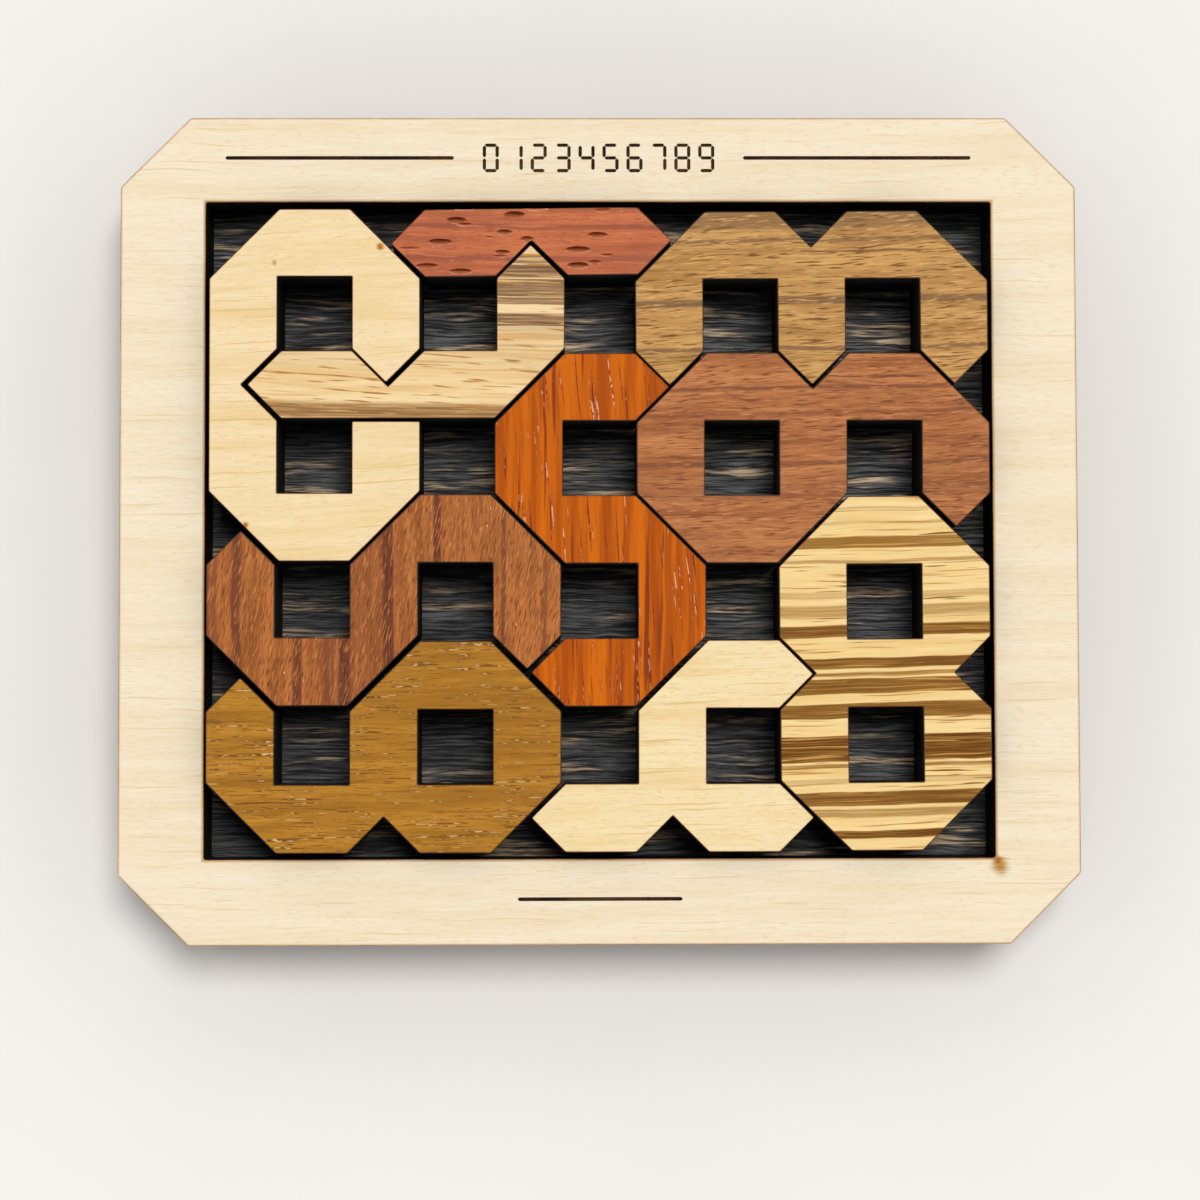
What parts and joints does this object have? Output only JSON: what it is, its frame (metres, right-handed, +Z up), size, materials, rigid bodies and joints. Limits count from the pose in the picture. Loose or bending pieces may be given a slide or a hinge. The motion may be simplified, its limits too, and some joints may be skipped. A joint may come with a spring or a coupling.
{
  "type": "packing puzzle",
  "caption": "Flat wooden tray puzzle: seven-segment numerals with mitred bars, cut from different woods, packed edge to edge in a shallow tray with cut corners.",
  "frame": {"origin": "middle of the floor board's underside, where the tray rests on a table", "axes": "+X along the tray's long side, to the reader's right; +Y to the top of the tray as the 0, the 5 and the 8 read; +Z up, out of the tray"},
  "size_m": [0.1752, 0.1514, 0.019],
  "materials": {
    "frame_maple": "pale maple, fine sanded, bare, with scorched laser-cut arrises and charred inner walls",
    "floor_dark": "dark stained board, satin",
    "wood_0": "pale yellow maple, fine sanded, oiled",
    "wood_1": "red padauk with long pits, oiled",
    "wood_2": "brown bubinga with dark streaks, oiled",
    "wood_3": "golden brown teak with dark streaks, oiled",
    "wood_4": "pale maple, fine sanded, oiled",
    "wood_5": "orange padauk with long dark and pale pores, oiled",
    "wood_6": "olive-gold flecked hardwood, oiled",
    "wood_7": "light tan striped hardwood, oiled",
    "wood_8": "strongly striped hardwood, oiled",
    "wood_9": "reddish brown hardwood, fine grain, oiled"
  },
  "bodies": {
    "tray": {"tray_frame": "frame_maple", "tray_floor": "floor_dark"},
    "loose_0": {"digit_0": "wood_0"},
    "loose_1": {"digit_1": "wood_1"},
    "loose_2": {"digit_2": "wood_2"},
    "loose_3": {"digit_3": "wood_3"},
    "loose_4": {"digit_4": "wood_4"},
    "loose_5": {"digit_5": "wood_5"},
    "loose_6": {"digit_6": "wood_6"},
    "loose_7": {"digit_7": "wood_7"},
    "loose_8": {"digit_8": "wood_8"},
    "loose_9": {"digit_9": "wood_9"}
  },
  "joints": [
    {"name": "lift_0", "type": "slide", "parent": "tray", "child": "loose_0", "axis": [0, 0, 1], "range_m": [0, 0.04]},
    {"name": "lift_1", "type": "slide", "parent": "tray", "child": "loose_1", "axis": [0, 0, 1], "range_m": [0, 0.04]},
    {"name": "lift_2", "type": "slide", "parent": "tray", "child": "loose_2", "axis": [0, 0, 1], "range_m": [0, 0.04]},
    {"name": "lift_3", "type": "slide", "parent": "tray", "child": "loose_3", "axis": [0, 0, 1], "range_m": [0, 0.04]},
    {"name": "lift_4", "type": "slide", "parent": "tray", "child": "loose_4", "axis": [0, 0, 1], "range_m": [0, 0.04]},
    {"name": "lift_5", "type": "slide", "parent": "tray", "child": "loose_5", "axis": [0, 0, 1], "range_m": [0, 0.04]},
    {"name": "lift_6", "type": "slide", "parent": "tray", "child": "loose_6", "axis": [0, 0, 1], "range_m": [0, 0.04]},
    {"name": "lift_7", "type": "slide", "parent": "tray", "child": "loose_7", "axis": [0, 0, 1], "range_m": [0, 0.04]},
    {"name": "lift_8", "type": "slide", "parent": "tray", "child": "loose_8", "axis": [0, 0, 1], "range_m": [0, 0.04]},
    {"name": "lift_9", "type": "slide", "parent": "tray", "child": "loose_9", "axis": [0, 0, 1], "range_m": [0, 0.04]}
  ]
}
